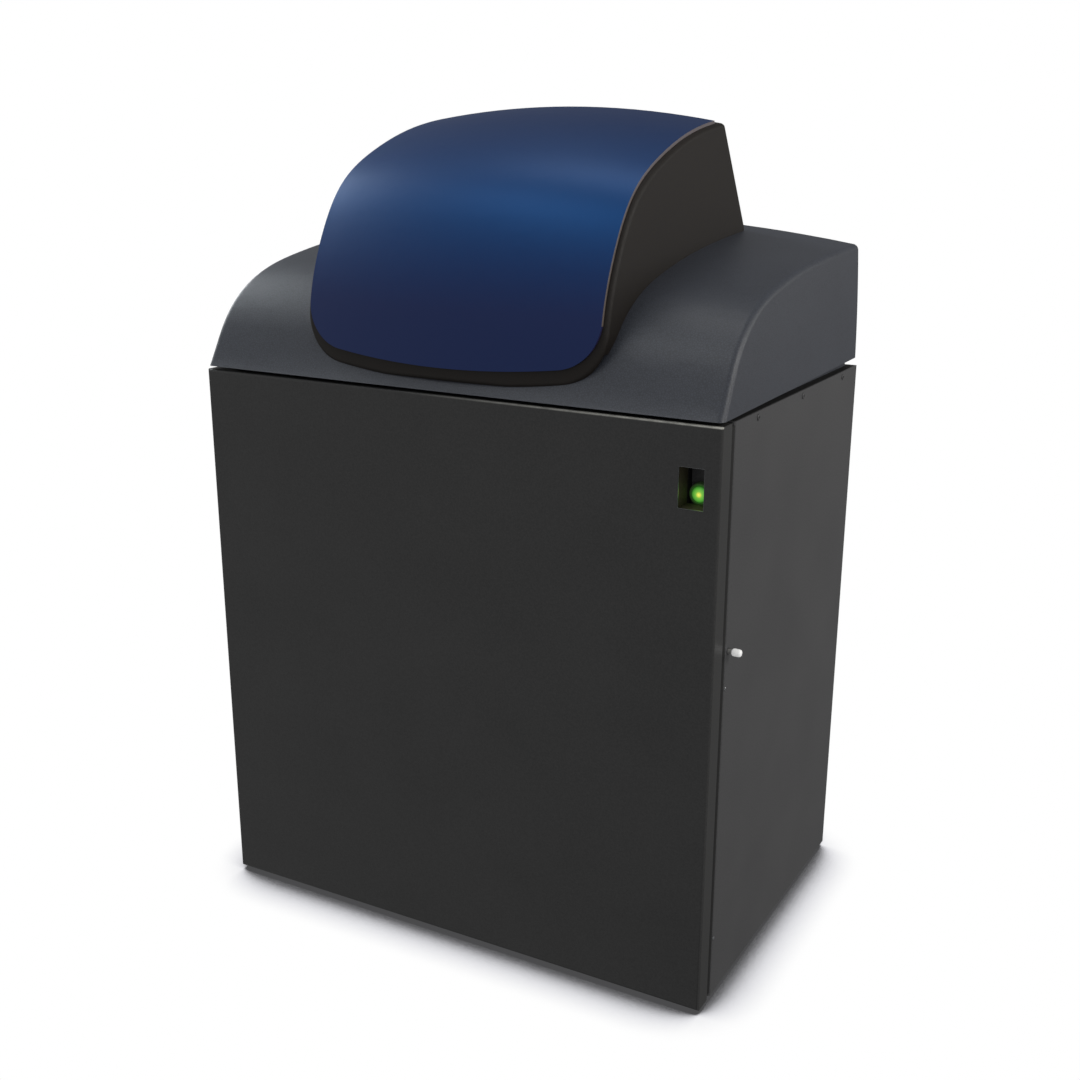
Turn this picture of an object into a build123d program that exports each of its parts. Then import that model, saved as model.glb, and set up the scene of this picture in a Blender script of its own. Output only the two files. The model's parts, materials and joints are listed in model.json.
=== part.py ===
from build123d import *
import os
from math import acos, cos, hypot, pi, radians, sin, tan

# Gel documentation cabinet: a light-tight darkroom with a hinged door, a UV drawer,
# and a camera with a geared filter wheel under a moulded hood and dome.
# X runs across the cabinet, Y from the door to the back, Z up from the floor.

# Driving dimensions, millimetres
WIDTH = 510.0
DEPTH = 340.0
FOOT_HEIGHT = 5.0
CABINET_TOP = 519.0
SHEET = 1.5
FOLD = 2.0
DOOR_DEPTH = 19.0
SEAL_GAP = 6.0
LINER_X = 212.0
MOUTH_LOW = 36.0
MOUTH_HIGH = 500.0

HALF = WIDTH / 2
FRONT = -DEPTH / 2
REAR = DEPTH / 2
DOOR_BACK = FRONT + DOOR_DEPTH
FRAME_Y = DOOR_BACK + SEAL_GAP
FLOOR_TOP = FOOT_HEIGHT + SHEET
DECK = 2.0
DECK_LOW = CABINET_TOP - DECK

# Hood and dome
HOOD_LOW_FRONT = 522.0
HOOD_LOW_REAR = 527.0
HOOD_REAR = 168.0
HOOD_WALL = 3.0
HOOD_ROUND = 6.0
HOOD_REAR_ROUND = 4.5
DOME_HALF = 148.0
DOME_WALL = 3.0
DOME_ROUND = 4.2
DOME_CORNER = 44.0
DOME_LOW = 527.8
FASCIA_HALF = 143.6
FASCIA = 2.6
FASCIA_REAR = 59.0
FASCIA_LOW = 541.5
FASCIA_CORNER = 40.0
BOW = 12.2

# Door window and power button
WINDOW_X = (219.5, 241.5)
WINDOW_Z = (451.3, 485.0)
BUTTON_X = 229.5
BUTTON_Z = 459.0
BUTTON_R = 7.0
BUTTON_TRAVEL = 2.5
FIT = 0.3
RUNNING = 0.05

# Hinges
HINGE_X = -258.4
HINGE_Y = -160.0
KNUCKLE_R = 3.0
KNUCKLE = 17.0
HINGE_POSTS = {"upper": (425.0, 3.5), "lower": (66.5, 17.0)}
HINGE_STRAP = 0.7
HINGE_LEAF = 2.6
PIN_R = 1.7

# Lock pin
LOCK_Y = -138.0
LOCK_Z = 328.0
LOCK_TRAVEL = 3.0
LOCK_R = 2.0
TONGUE_X = 234.0
TONGUE = 2.0

# Camera, filter wheel and drive
OPTIC_X = 0.0
OPTIC_Y = 40.0
LENS_PORT_R = 30.0
MODULE = 2.0
WHEEL_TEETH = 80
PINION_TEETH = 16
WHEEL_Z = (534.0, 538.0)
FILTERS = 7
FILTER_PITCH = 56.0
FILTER_R = 20.0
DRIVE_ANGLE = 60.0
BACKLASH = 0.12

# UV drawer
DRAWER_X = 190.0
DRAWER_Y = (-112.0, 128.0)
DRAWER_Z = (52.0, 132.0)
RAIL_Z = (62.0, 100.0)
RAIL = 12.7
TUBES = 6
HANDLE_REACH = 24.0
HANDLE_HALF = 55.0
HANDLE_Z = 92.0
HANDLE_R = 3.5


def block(x, y, z):
    """A box from the low and high corner values on each axis."""
    size = Box(x[1] - x[0], y[1] - y[0], z[1] - z[0])
    return Pos(sum(x) / 2, sum(y) / 2, sum(z) / 2) * size


def rod(radius, start, end):
    """A round bar from one point to another."""
    along = Vector(*end) - Vector(*start)
    return extrude(Plane(origin=start, z_dir=along) * Circle(radius), amount=along.length)


def turned(profile, start=(0, 0, 0), direction=(0, 0, 1)):
    """A turned piece from its (radius, height) outline, stood on a point along a direction."""
    solid = revolve(Plane.XZ * make_face(Polyline(*profile, close=True)), Axis.Z)
    return Plane(origin=start, z_dir=direction).location * solid


def both_sides(solid):
    """A solid and its mirror image across the cabinet."""
    return [solid, mirror(solid, about=Plane.YZ)]


def folded(points, z, bend=FOLD, thickness=SHEET):
    """Sheet metal folded along a plan outline, standing between two heights."""
    outline = trace(FilletPolyline(*points, radius=bend), line_width=thickness)
    return extrude(Plane.XY.offset(z[0]) * outline, amount=z[1] - z[0])


def save(name, *solids):
    """One node: a single solid, or a group of separate like solids."""
    shape = solids[0] if len(solids) == 1 else Compound(children=list(solids))
    export_step(shape, os.path.join("parts", name + ".step"))


# --- Cabinet sheet metal -----------------------------------------------------------

SCREW_ROW = (-95.0, 14.0, 126.5)
SCREW_DROP = 5.0
SCREW_HOLE = 1.6
PAN_HEAD_SCREW = [(0, -6), (1.5, -6), (1.5, 0), (2.8, 0), (2.5, 0.7), (0, 1.0)]


def side_screw(y):
    """Low pan-head screw in the right side panel."""
    return turned(PAN_HEAD_SCREW, (HALF, y, CABINET_TOP - SCREW_DROP), (1, 0, 0))


def without_side_screw_holes(sheet):
    for y in SCREW_ROW:
        z = CABINET_TOP - SCREW_DROP
        sheet -= rod(SCREW_HOLE, (-HALF - 5, y, z), (HALF + 5, y, z))
    return sheet


def side_panel():
    """Right side: one sheet with a front return, screw holes and the lock pin's hole."""
    middle = HALF - SHEET / 2
    points = [(middle, REAR - SHEET), (middle, FRAME_Y + SHEET / 2), (240, FRAME_Y + SHEET / 2)]
    return without_side_screw_holes(folded(points, (FOOT_HEIGHT, CABINET_TOP)))


def lock_bore(radius):
    return rod(radius, (HALF - 20, LOCK_Y, LOCK_Z), (HALF + 20, LOCK_Y, LOCK_Z))


def base_pan():
    """Folded tray that ties the side panels together at the floor."""
    inner = HALF - SHEET
    front = FRAME_Y + 2 * SHEET
    tray = block((-inner, inner), (front, REAR - SHEET), (FOOT_HEIGHT, FOOT_HEIGHT + 22))
    tray -= block((-inner + SHEET, inner - SHEET), (front + SHEET, REAR - 2 * SHEET),
                  (FLOOR_TOP, FOOT_HEIGHT + 30))
    return without_rear_screw_holes(tray)


def rear_panel():
    """Back cover, screwed to the base pan and the deck plate."""
    return without_rear_screw_holes(block((-HALF, HALF), (REAR - SHEET, REAR), (FOOT_HEIGHT, CABINET_TOP)))


def rear_screw_places():
    return [(x, z) for x in (-240, 0, 240) for z in (16, CABINET_TOP - 12)]


def without_rear_screw_holes(sheet):
    for x, z in rear_screw_places():
        sheet -= rod(SCREW_HOLE, (x, REAR - 5, z), (x, REAR + 5, z))
    return sheet


def rear_screw(x, z):
    return turned(PAN_HEAD_SCREW, (x, REAR, z), (0, 1, 0))


def front_frame():
    """Door surround with a turned-in lip round the darkroom mouth."""
    low = FRAME_Y + SHEET
    inner = HALF - SHEET - FOLD
    frame = block((-inner, inner), (low, low + SHEET), (FOOT_HEIGHT, CABINET_TOP))
    lip = block((-LINER_X, LINER_X), (low, low + 14), (MOUTH_LOW, MOUTH_HIGH))
    mouth = block((-LINER_X + SHEET, LINER_X - SHEET), (low - 5, low + 20),
                  (MOUTH_LOW + SHEET, MOUTH_HIGH - SHEET))
    frame = frame + lip - mouth
    frame -= rod(8.0, (BUTTON_X, low - 5, BUTTON_Z), (BUTTON_X, low + 5, BUTTON_Z))
    frame -= block((TONGUE_X - 4, TONGUE_X + 5), (low - 5, low + 5), (LOCK_Z - 16, LOCK_Z + 16))
    return frame


def deck_plate():
    """Darkroom ceiling, flanged down on three sides, with the lens port."""
    inner = HALF - SHEET
    front = FRAME_Y + 2 * SHEET
    plate = block((-inner, inner), (front, REAR - SHEET), (DECK_LOW - 20, CABINET_TOP))
    plate -= block((-inner + SHEET, inner - SHEET), (front - 1, REAR - 2 * SHEET), (DECK_LOW - 30, DECK_LOW))
    plate -= rod(LENS_PORT_R, (OPTIC_X, OPTIC_Y, DECK_LOW - 1), (OPTIC_X, OPTIC_Y, CABINET_TOP + 1))
    return without_rear_screw_holes(without_side_screw_holes(plate))


def liner():
    """Right darkroom wall with a foot flange on the base pan."""
    x = LINER_X + SHEET / 2
    outline = trace(FilletPolyline((x + 20, FLOOR_TOP + SHEET / 2), (x, FLOOR_TOP + SHEET / 2),
                                   (x, DECK_LOW), radius=2.0), line_width=SHEET)
    length = REAR - SHEET * 2 - (FRAME_Y + 16)
    return extrude(Plane.XZ.offset(-(FRAME_Y + 16)) * outline, amount=-length)


def foot(x, y):
    profile = [(0, 0), (11, 0), (13, 1.5), (14, FOOT_HEIGHT), (0, FOOT_HEIGHT)]
    return turned(profile, (x, y, 0))


def door_seal():
    """Square foam strip round the mouth, just clear of the closed door."""
    y = (DOOR_BACK + 0.4, FRAME_Y + SHEET)
    outer = block((-LINER_X - 8, LINER_X + 8), y, (MOUTH_LOW - 9, MOUTH_HIGH + 9))
    inner = block((-LINER_X - 1, LINER_X + 1), (y[0] - 1, y[1] + 1), (MOUTH_LOW - 2, MOUTH_HIGH + 2))
    strip = outer - inner
    front_edges = strip.edges().filter_by_position(Axis.Y, y[0] - 0.01, y[0] + 0.01)
    return fillet(front_edges, 1.5)


# --- Door --------------------------------------------------------------------------

DOOR_FOLD = 2.5
DOOR_LIP = 9.0


def window_hole(margin, y):
    return block((WINDOW_X[0] - margin, WINDOW_X[1] + margin), y,
                 (WINDOW_Z[0] - margin, WINDOW_Z[1] + margin))


def door_skin():
    """Folded pan with rounded front folds, returns, and lips that hold the liner."""
    skin = block((-HALF, HALF), (FRONT, DOOR_BACK), (FOOT_HEIGHT, CABINET_TOP))
    front_edges = skin.edges().filter_by_position(Axis.Y, FRONT - 0.01, FRONT + 0.01)
    skin = fillet(front_edges, DOOR_FOLD)
    skin = skin - block((-HALF + SHEET, HALF - SHEET), (FRONT + SHEET, DOOR_BACK - SHEET),
                        (FOOT_HEIGHT + SHEET, CABINET_TOP - SHEET))
    skin -= block((-HALF + DOOR_LIP, HALF - DOOR_LIP), (DOOR_BACK - 3, DOOR_BACK + 1),
                  (FOOT_HEIGHT + DOOR_LIP, CABINET_TOP - DOOR_LIP))
    return skin - window_hole(0, (FRONT - 1, FRONT + 5))


def door_liner():
    """Inner pan held behind the lips, pressed in to stiffen it."""
    back = DOOR_BACK - SHEET
    edge = SHEET + 0.1
    liner_pan = block((-HALF + edge, HALF - edge), (back - SHEET, back),
                      (FOOT_HEIGHT + edge, CABINET_TOP - edge))
    pressed = block((-190, 190), (back - 5, back), (60, 470))
    pressed = fillet(pressed.edges().filter_by(Axis.Y), 18)
    hollow = block((-190 + SHEET, 190 - SHEET), (back - 5 + SHEET, back + 1), (60 + SHEET, 470 - SHEET))
    hollow = fillet(hollow.edges().filter_by(Axis.Y), 18 - SHEET)
    return liner_pan + pressed - hollow - window_hole(SHEET, (FRONT, REAR))


def window_sleeve():
    """Short rectangular tunnel that keeps light out of the door round its window."""
    y = (FRONT + SHEET, DOOR_BACK)
    return window_hole(SHEET, y) - window_hole(0, (y[0] - 1, y[1] + 1))


def hinge_barrel(z):
    """Round knuckle with chamfered ends, standing on the hinge line."""
    height = z[1] - z[0]
    profile = [(0, 0), (KNUCKLE_R - 0.6, 0), (KNUCKLE_R, 0.8), (KNUCKLE_R, height - 0.8),
               (KNUCKLE_R - 0.6, height), (0, height)]
    return turned(profile, (HINGE_X, HINGE_Y, z[0]))


def hinge_post(low, height):
    """Fixed half of a lift-off hinge: a lower knuckle on a strap from the side panel."""
    z = (low, low + height)
    post = hinge_barrel(z)
    post += block((-HALF - HINGE_LEAF, -HALF - HINGE_STRAP), (HINGE_Y, FRAME_Y + 3), z)
    post += block((-HALF - HINGE_LEAF, -HALF), (FRAME_Y + 3, FRAME_Y + 26), z)
    return post - rod(PIN_R, (HINGE_X, HINGE_Y, z[0] - 1), (HINGE_X, HINGE_Y, z[1] + 1))


def hinge_pin(low, height):
    """Pin pressed in the post, standing up into the door's knuckle."""
    length = height + KNUCKLE
    profile = [(0, 0), (PIN_R, 0), (PIN_R, length - 1), (PIN_R - 0.8, length), (0, length)]
    return turned(profile, (HINGE_X, HINGE_Y, low + 0.3))


def hinge_knuckle(low, height):
    """Door half: the upper knuckle, welded to the door's return."""
    z = (low + height + 0.5, low + height + 0.5 + KNUCKLE)
    knuckle = hinge_barrel(z)
    knuckle += block((-HALF - HINGE_LEAF, -HALF), (HINGE_Y - 3.5, HINGE_Y + 8), z)
    return knuckle - rod(PIN_R + RUNNING, (HINGE_X, HINGE_Y, z[0] - 1), (HINGE_X, HINGE_Y, z[1] + 1))


def lock_tongue():
    """Plate on the door's liner that the lock pin enters."""
    tongue = block((TONGUE_X, TONGUE_X + TONGUE), (DOOR_BACK - SHEET, LOCK_Y + 8), (LOCK_Z - 11, LOCK_Z + 11))
    tongue = fillet(tongue.edges().filter_by(Axis.X).filter_by_position(Axis.Y, LOCK_Y + 7, LOCK_Y + 9), 5)
    tongue -= rod(LOCK_R + 0.8, (TONGUE_X - 1, LOCK_Y, LOCK_Z), (TONGUE_X + 5, LOCK_Y, LOCK_Z))
    foot_plate = block((TONGUE_X - 10, TONGUE_X + TONGUE), (DOOR_BACK - SHEET, DOOR_BACK),
                       (LOCK_Z - 11, LOCK_Z + 11))
    return tongue + foot_plate


# --- Lock pin and power switch ------------------------------------------------------

def lock_bush():
    """Flanged bush that guides the lock pin through the side panel."""
    profile = [(LOCK_R + RUNNING, -9), (3.9, -9), (3.9, -SHEET), (3.2, -SHEET), (3.2, 0),
               (LOCK_R + RUNNING, 0)]
    return turned(profile, (HALF, LOCK_Y, LOCK_Z), (1, 0, 0))


def lock_pin():
    """Turned pin, tapered at its nose, drawn back clear of the door's tongue."""
    tip = TONGUE_X + TONGUE + 1
    length = HALF + 8 - tip
    profile = [(0, 0), (LOCK_R - 0.7, 0), (LOCK_R, 1.2), (LOCK_R, length), (0, length)]
    return turned(profile, (tip, LOCK_Y, LOCK_Z), (1, 0, 0))


def lock_knob():
    """Small moulded knob, waisted behind its rounded head."""
    gap = LOCK_TRAVEL + 0.2
    profile = [(LOCK_R, gap), (3.2, gap), (3.0, gap + 2.5), (4.2, gap + 4.2), (4.3, gap + 7.0),
               (3.4, gap + 9.2), (1.6, gap + 9.9), (0, gap + 10), (0, 8), (LOCK_R, 8)]
    return turned(profile, (HALF, LOCK_Y, LOCK_Z), (1, 0, 0))


def switch_barrel():
    """Switch body through the frame, with a bezel ring in front."""
    front = FRAME_Y + SHEET
    bore = BUTTON_R + FIT
    profile = [(bore, -6.0), (8.6, -6.0), (9.2, -5.2), (9.2, 0), (7.9, 0), (7.9, 24), (2.3, 24),
               (2.3, 7.5), (bore, 7.5)]
    return turned(profile, (BUTTON_X, front, BUTTON_Z), (0, 1, 0))


def power_button():
    """Domed push button cap on its stem."""
    front = DOOR_BACK - 0.4
    profile = [(0, 0), (3.5, 0.25), (5.8, 0.9), (BUTTON_R, 2.0), (BUTTON_R, 9.5), (2.0, 9.5),
               (2.0, 24), (0, 24)]
    return turned(profile, (BUTTON_X, front, BUTTON_Z), (0, 1, 0))


# --- Hood and dome -------------------------------------------------------------------

HOOD_SIDE = [(-170, 522), (-157.2, 544.8), (-146.2, 562.6), (-123.4, 585.9), (-89.2, 603.8),
             (-40.2, 615.7), (1.3, 622.2), (62, 627.2), (127.7, 630.9), (HOOD_REAR, 631.8)]
HOOD_MIDDLE = [(-170, 522), (-156.3, 541.5), (-146.5, 560.5), (-124, 587.5), (-90, 608.5),
               (-41, 623.5), (1.3, 632.5), (62, 642), (127.7, 649), (HOOD_REAR, 652.5)]
DOME_SIDE = [(-160.3, 529.5), (-158.3, 561.5), (-152.3, 598.5), (-134.3, 643.5), (-105.3, 683.5),
             (-53.3, 713.5), (5.7, 732.5), (70, 743)]
DOME_CROWN = (8.5, 11.8)
DOME_BACK = [(131, 647), (146, 560), (150, 529.5)]
DOME_REACH = 152.0
HOOD_SHELF = (530.0, 533.0)
HOOD_RIM_X = 246.0
HOOD_RIM_Y = (-139.0, 161.0)


def moved_inward(points, distances):
    """Shift each point of a front-to-back outline square to the outline, towards the inside."""
    result = []
    for i, (y, z) in enumerate(points):
        before = points[max(i - 1, 0)]
        after = points[min(i + 1, len(points) - 1)]
        dy, dz = after[0] - before[0], after[1] - before[1]
        reach = distances[i] / hypot(dy, dz)
        result.append((y + dz * reach, z - dy * reach))
    return result


def section(x, curve_points, corners):
    """A closed side-view section: one smooth curve and the straight run back to its start."""
    ends = [curve_points[-1], *corners, curve_points[0]]
    edges = [Line(a, b) for a, b in zip(ends, ends[1:])]
    return Plane.YZ.offset(x) * make_face([Spline(*curve_points), *edges])


def hood_form(inset):
    """The hood's crowned solid form with rounded shoulders, or that of its hollow when inset."""
    rear = HOOD_REAR - inset
    faces = []
    for x, points in ((-HALF - 1, HOOD_SIDE), (0, HOOD_MIDDLE), (HALF + 1, HOOD_SIDE)):
        curve_points = moved_inward(points, [inset] * len(points))
        curve_points[-1] = (rear, curve_points[-1][1])
        curve_points[0] = (FRONT + 1.5 * inset, HOOD_LOW_FRONT)
        faces.append(section(x, curve_points, [(rear, HOOD_LOW_REAR)]))
    form = loft(faces) & cheeks(inset)
    shoulders = [e for e in form.edges() if e.center().Z > 560 and e.center().Y < rear - 5]
    form = fillet(shoulders, HOOD_ROUND - inset)
    back_edges = form.edges().filter_by_position(Axis.Y, rear - 0.01, rear + 0.01)
    return fillet([e for e in back_edges if e.center().Z > HOOD_LOW_REAR + 5], HOOD_REAR_ROUND - inset)


def cheeks(inset):
    """Front-view outline of the hood: cheeks that lean in towards the top."""
    low, high = HOOD_LOW_FRONT - 10, 680
    half = HALF - inset
    sides = []
    for side in (-1, 1):
        sides.append(ThreePointArc((side * half, low), (side * (half - 2.2), 590), (side * (half - 9), high)))
    outline = [sides[0], sides[1], Line((-half, low), (half, low)), Line((-half + 9, high), (half - 9, high))]
    return extrude(Plane.XZ * make_face(outline), amount=DEPTH, both=True)


def dome_form(inset):
    """The dome's solid form: a swept-back profile, crowned across its width."""
    steps = len(DOME_SIDE) - 1
    faces = []
    for x in (-DOME_REACH, 0, DOME_REACH):
        share = 1 - (x / FASCIA_HALF) ** 2
        growth = (DOME_CROWN[1] - DOME_CROWN[0]) / steps
        rises = [share * (DOME_CROWN[0] + growth * i) for i in range(steps + 1)]
        curve_points = moved_inward(DOME_SIDE, [inset - rise for rise in rises])
        drop = inset if inset > FASCIA else 0
        back = [(y - drop, z - drop + (0 if i else rises[-1])) for i, (y, z) in enumerate(DOME_BACK)]
        back[-1] = (back[-1][0], curve_points[0][1])
        faces.append(section(x, curve_points, back))
    return loft(faces)


def front_outline(half, low, corner, y):
    """Upright outline seen from the front: bowed bottom edge with generous corners."""
    top = 790
    edges = [Line((-half, top), (-half, low + BOW)),
             ThreePointArc((-half, low + BOW), (0, low), (half, low + BOW)),
             Line((half, low + BOW), (half, top)),
             Line((half, top), (-half, top))]
    face = make_face(edges)
    face = fillet(face.vertices().sort_by(Axis.Y)[:2], corner)
    return extrude(Plane.XZ.offset(-y[0]) * face, amount=-(y[1] - y[0]))


def fascia_panel():
    """Curved metallic sheet bonded to the front and top of the dome."""
    sheet = dome_form(0) - dome_form(FASCIA)
    return sheet & front_outline(FASCIA_HALF, FASCIA_LOW, FASCIA_CORNER, (FRONT - 20, FASCIA_REAR))


def dome_housing(hood_outside):
    """Moulded shell behind the fascia with rounded edges, trimmed to sit on the hood."""
    shell = dome_form(FASCIA) & front_outline(DOME_HALF, DOME_LOW, DOME_CORNER, (FRONT - 20, REAR))
    front_face = shell.faces().sort_by(SortBy.AREA)[-1]
    shell = fillet(front_face.edges(), DOME_ROUND)
    hollow = dome_form(FASCIA + DOME_WALL)
    hollow &= block((-DOME_HALF + DOME_WALL, DOME_HALF - DOME_WALL), (FRONT, REAR), (400, 800))
    return shell - hollow - hood_outside


def hood(hood_outside):
    """Moulded cover over the electronics, with a lip that locates it on the deck."""
    shell = hood_outside - hood_form(HOOD_WALL)
    shelf = block((-HALF, HALF), (FRONT, REAR), HOOD_SHELF) & hood_outside
    rim = block((-HOOD_RIM_X, HOOD_RIM_X), HOOD_RIM_Y, (CABINET_TOP, HOOD_SHELF[1]))
    shell = shell + shelf + rim
    shell -= block((-HOOD_RIM_X + 6, HOOD_RIM_X - 6), (HOOD_RIM_Y[0] + 6, HOOD_RIM_Y[1] - 6),
                   (CABINET_TOP - 1, HOOD_SHELF[1] + 1))
    opening = block((-122, 122), (-112, 132), (560, 700))
    opening = fillet(opening.edges().filter_by(Axis.Z), 25)
    shell -= opening
    return shell - block((-SERVICE_X + 8, SERVICE_X - 8), (REAR - 8, REAR + 5),
                         (SERVICE_Z[0] + 8, SERVICE_Z[1] - 8))


# --- Service plate in the back of the hood --------------------------------------------

SERVICE_X = 112.0
SERVICE_Z = (540.0, 616.0)
SERVICE_Y = (HOOD_REAR - HOOD_WALL - 2, HOOD_REAR - HOOD_WALL)
FAN_X = -66.0
FAN_Z = 578.0
FAN_HALF = 30.0
INLET_X = 66.0
INLET_Z = 570.0
USB_X = 22.0


def service_plate():
    """Metal plate behind the hood's rear opening, with a slotted fan grille."""
    plate = block((-SERVICE_X, SERVICE_X), SERVICE_Y, SERVICE_Z)
    reach = FAN_HALF - 4
    pitch = 7.5
    for row in range(-3, 4):
        half = (reach ** 2 - (row * pitch) ** 2) ** 0.5
        slot = Pos(FAN_X, FAN_Z + row * pitch) * SlotOverall(2 * half, 4.5)
        plate -= extrude(Plane.XZ.offset(-SERVICE_Y[0] + 2) * slot, amount=-8)
    plate -= block((INLET_X - 14, INLET_X + 14), (150, 170), (INLET_Z - 10, INLET_Z + 10))
    plate -= block((USB_X - 6.5, USB_X + 6.5), (150, 170), (INLET_Z - 6, INLET_Z + 6))
    return plate


def mains_inlet():
    """Snap-in three-pin appliance inlet."""
    y = SERVICE_Y
    shell = block((INLET_X - 16, INLET_X + 16), (y[1], y[1] + 2), (INLET_Z - 12.5, INLET_Z + 12.5))
    shell += block((INLET_X - 14, INLET_X + 14), (y[0] - 16, y[1]), (INLET_Z - 10, INLET_Z + 10))
    cavity = block((INLET_X - 12, INLET_X + 12), (y[0] - 14, y[1] + 5), (INLET_Z - 8, INLET_Z + 8))
    shell -= chamfer(cavity.edges().filter_by(Axis.Y).sort_by(Axis.Z)[2:], 4)
    for x, z in ((-7, -1), (0, 2), (7, -1)):
        shell += block((INLET_X + x - 1, INLET_X + x + 1), (y[0] - 15, y[0] - 1),
                       (INLET_Z + z - 2, INLET_Z + z + 2))
    return shell


def usb_socket():
    y = SERVICE_Y
    socket = block((USB_X - 6.5, USB_X + 6.5), (y[0] - 14, y[1] + 0.8), (INLET_Z - 6, INLET_Z + 6))
    socket -= block((USB_X - 5.5, USB_X + 5.5), (y[0] - 12, y[1] + 2), (INLET_Z - 5, INLET_Z + 5))
    return socket + block((USB_X - 3, USB_X + 3), (y[0] - 13, y[1] - 1), (INLET_Z - 1.5, INLET_Z + 1.5))


def fan_frame():
    y = (SERVICE_Y[0] - 15, SERVICE_Y[0])
    frame = block((FAN_X - FAN_HALF, FAN_X + FAN_HALF), y, (FAN_Z - FAN_HALF, FAN_Z + FAN_HALF))
    frame = fillet(frame.edges().filter_by(Axis.Y), 3)
    frame -= rod(FAN_HALF - 2, (FAN_X, y[0] - 1, FAN_Z), (FAN_X, y[1] + 1, FAN_Z))
    frame += rod(12, (FAN_X, y[0], FAN_Z), (FAN_X, y[0] + 1.5, FAN_Z))
    for turn in (0, 120, 240):
        arm = block((FAN_X - 1.5, FAN_X + 1.5), (y[0], y[0] + 1.5), (FAN_Z + 8, FAN_Z + FAN_HALF - 1))
        frame += arm.rotate(Axis((FAN_X, 0, FAN_Z), (0, 1, 0)), turn)
    return frame + rod(2, (FAN_X, y[0], FAN_Z), (FAN_X, y[1] - 4, FAN_Z))


def fan_rotor():
    """Hub with seven swept blades on the frame's stub shaft."""
    y = (SERVICE_Y[0] - 13, SERVICE_Y[0] - 2)
    rotor = rod(12, (FAN_X, y[0], FAN_Z), (FAN_X, y[1], FAN_Z))
    blade = Pos(FAN_X, (y[0] + y[1]) / 2, FAN_Z + 18.5) * Rot(0, 0, 40) * Box(1.2, 11, 15)
    for i in range(7):
        rotor += blade.rotate(Axis((FAN_X, 0, FAN_Z), (0, 1, 0)), i * 360 / 7)
    return rotor - rod(2 + RUNNING, (FAN_X, y[0] - 1, FAN_Z), (FAN_X, y[1] - 1.5, FAN_Z))


# --- Camera and filter wheel -----------------------------------------------------------

WHEEL_X = OPTIC_X - FILTER_PITCH
WHEEL_Y = OPTIC_Y
CENTRES = MODULE * (WHEEL_TEETH + PINION_TEETH) / 2
PINION_X = WHEEL_X + CENTRES * cos(radians(DRIVE_ANGLE))
PINION_Y = WHEEL_Y + CENTRES * sin(radians(DRIVE_ANGLE))
CAMERA_PLATE_Z = (600.0, 604.0)
POSTS = [(50, -28), (50, 108), (-122, -35), (-122, 115)]


def involute(angle):
    return tan(angle) - angle


def gear(teeth, tooth_turn):
    """Plan outline of an involute gear, with a tooth centred on the given angle."""
    pitch_r = MODULE * teeth / 2
    base_r = pitch_r * cos(radians(20))
    root_r, tip_r = pitch_r - 1.1 * MODULE, pitch_r + 0.8 * MODULE
    half_tooth = pi / (2 * teeth) - BACKLASH / pitch_r
    flank = []
    for r in (max(root_r, base_r), pitch_r, tip_r):
        turn = half_tooth + involute(radians(20)) - involute(acos(base_r / r))
        flank.append((r, turn))
    if root_r < base_r:
        flank.insert(0, (root_r, flank[0][1]))
    points = []
    for i in range(teeth):
        middle = radians(tooth_turn) + 2 * pi * i / teeth
        for r, turn in flank:
            points.append((r * cos(middle - turn), r * sin(middle - turn)))
        for r, turn in reversed(flank):
            points.append((r * cos(middle + turn), r * sin(middle + turn)))
    return make_face(Polyline(*points, close=True))


def filter_wheel():
    """Toothed carousel with seven stepped filter seats, round a long hub."""
    wheel = extrude(Pos(0, 0, WHEEL_Z[0]) * gear(WHEEL_TEETH, DRIVE_ANGLE), amount=WHEEL_Z[1] - WHEEL_Z[0])
    wheel += rod(14, (0, 0, 523.3), (0, 0, 545))
    wheel -= rod(4 + RUNNING, (0, 0, 500), (0, 0, 560))
    for x, y in filter_places():
        wheel -= rod(FILTER_R - 1.5, (x, y, 530), (x, y, 545))
        wheel -= rod(FILTER_R, (x, y, WHEEL_Z[0] + 1), (x, y, 545))
    return Pos(WHEEL_X, WHEEL_Y, 0) * wheel


def filter_places():
    turns = [2 * pi * i / FILTERS for i in range(FILTERS)]
    return [(FILTER_PITCH * cos(t), FILTER_PITCH * sin(t)) for t in turns]


def filters():
    z = WHEEL_Z[0] + 1
    disc = rod(FILTER_R, (WHEEL_X, WHEEL_Y, z), (WHEEL_X, WHEEL_Y, z + 2))
    return [Pos(x, y, 0) * disc for x, y in filter_places()]


def drive_pinion():
    """Pinion on the motor's shaft, a gap of its teeth facing the wheel's tooth."""
    turn = DRIVE_ANGLE + 180 + 180 / PINION_TEETH
    pinion = extrude(Pos(0, 0, WHEEL_Z[0] - 1) * gear(PINION_TEETH, turn), amount=WHEEL_Z[1] - WHEEL_Z[0] + 2)
    pinion += rod(7, (0, 0, WHEEL_Z[1]), (0, 0, 545))
    return Pos(PINION_X, PINION_Y, 0) * (pinion - rod(2.5, (0, 0, 500), (0, 0, 560)))


def motor_shaft():
    return rod(2.5, (PINION_X, PINION_Y, WHEEL_Z[0] - 2), (PINION_X, PINION_Y, 560))


def wheel_spindle():
    profile = [(0, 0), (14, 0), (14, 3), (9, 4), (4, 4), (4, 31), (0, 31)]
    return turned(profile, (WHEEL_X, WHEEL_Y, CABINET_TOP))


def spindle_collar():
    profile = [(4, 0), (8, 0), (8, 2.2), (7.2, 3), (4, 3)]
    return turned(profile, (WHEEL_X, WHEEL_Y, 545.3))


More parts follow.
